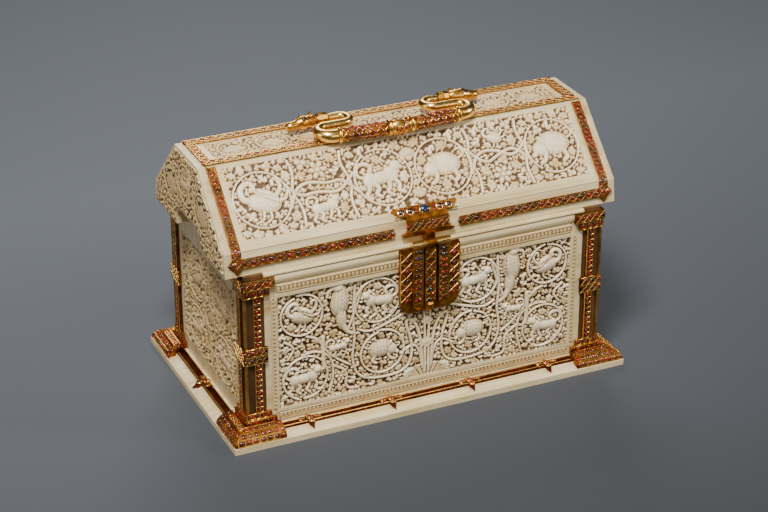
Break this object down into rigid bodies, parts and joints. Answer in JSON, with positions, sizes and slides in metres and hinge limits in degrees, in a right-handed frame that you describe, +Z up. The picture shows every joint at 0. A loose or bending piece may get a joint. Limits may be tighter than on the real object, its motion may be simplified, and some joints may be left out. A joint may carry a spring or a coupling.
{
  "type": "reliquary casket",
  "caption": "Carved ivory casket with a hipped lid, gilt and jewelled mounts, a swinging handle and a hasp over a lock plate.",
  "frame": {"origin": "centre of the plinth's underside", "axes": "+X to the right along the front, +Y from the front to the back, +Z up"},
  "size_m": [0.3, 0.174, 0.197],
  "materials": {
    "ivory": "carved and polished ivory, warm cream, brown in the recesses",
    "horn": "polished dark grey-brown horn",
    "gilt_metal": "worn orange-rich gilding, satin",
    "jewelled_gilt": "gilt cells set with dark red and pink cabochons"
  },
  "bodies": {
    "box": {"plinth": "ivory", "front_panel": "ivory", "back_panel": "ivory", "left_panel": "ivory", "right_panel": "ivory", "front_left_post": "horn", "front_right_post": "horn", "back_left_post": "horn", "back_right_post": "horn", "front_left_frame": "gilt_metal", "front_right_frame": "gilt_metal", "back_left_frame": "gilt_metal", "back_right_frame": "gilt_metal", "front_left_strip": "jewelled_gilt", "front_left_end_strip": "jewelled_gilt", "front_right_strip": "jewelled_gilt", "front_right_end_strip": "jewelled_gilt", "back_left_strip": "jewelled_gilt", "back_left_end_strip": "jewelled_gilt", "back_right_strip": "jewelled_gilt", "back_right_end_strip": "jewelled_gilt", "front_left_plinth_mount": "jewelled_gilt", "front_right_plinth_mount": "jewelled_gilt", "back_left_plinth_mount": "jewelled_gilt", "back_right_plinth_mount": "jewelled_gilt", "front_rail": "gilt_metal", "back_rail": "gilt_metal", "left_rail": "gilt_metal", "right_rail": "gilt_metal", "lock_plate": "gilt_metal", "lock_rim": "gilt_metal", "hinge_lower_left": "gilt_metal", "hinge_lower_right": "gilt_metal"},
    "lid": {"lid_front": "ivory", "lid_back": "ivory", "lid_front_skirt": "ivory", "lid_back_skirt": "ivory", "lid_top": "ivory", "lid_left_end": "ivory", "lid_right_end": "ivory", "eave_strip_left": "jewelled_gilt", "eave_strip_right": "jewelled_gilt", "eave_strip_back_left": "jewelled_gilt", "eave_strip_back_middle": "jewelled_gilt", "eave_strip_back_right": "jewelled_gilt", "slope_strip_front_left": "jewelled_gilt", "slope_strip_front_right": "jewelled_gilt", "slope_strip_back_left": "jewelled_gilt", "slope_strip_back_right": "jewelled_gilt", "ridge_strip_front": "jewelled_gilt", "ridge_strip_back": "jewelled_gilt", "cross_strip_left": "jewelled_gilt", "cross_strip_right": "jewelled_gilt", "hasp_plate": "gilt_metal", "eyelet_left": "gilt_metal", "eyelet_right": "gilt_metal", "hinge_upper_left": "gilt_metal", "hinge_upper_right": "gilt_metal"},
    "hasp": {"hasp": "gilt_metal"},
    "handle": {"handle": "gilt_metal"}
  },
  "joints": [
    {"name": "lid_hinge", "type": "hinge", "parent": "box", "child": "lid", "pos_m": [0, 0.0749, 0.1237], "axis": [-1, 0, 0], "range_deg": [0, 100]},
    {"name": "hasp_hinge", "type": "hinge", "parent": "lid", "child": "hasp", "pos_m": [0, -0.0752, 0.1243], "axis": [-1, 0, 0], "range_deg": [0, 110]},
    {"name": "handle_swing", "type": "hinge", "parent": "lid", "child": "handle", "pos_m": [0, 0.004, 0.192], "axis": [-1, 0, 0], "range_deg": [0, 170]}
  ]
}
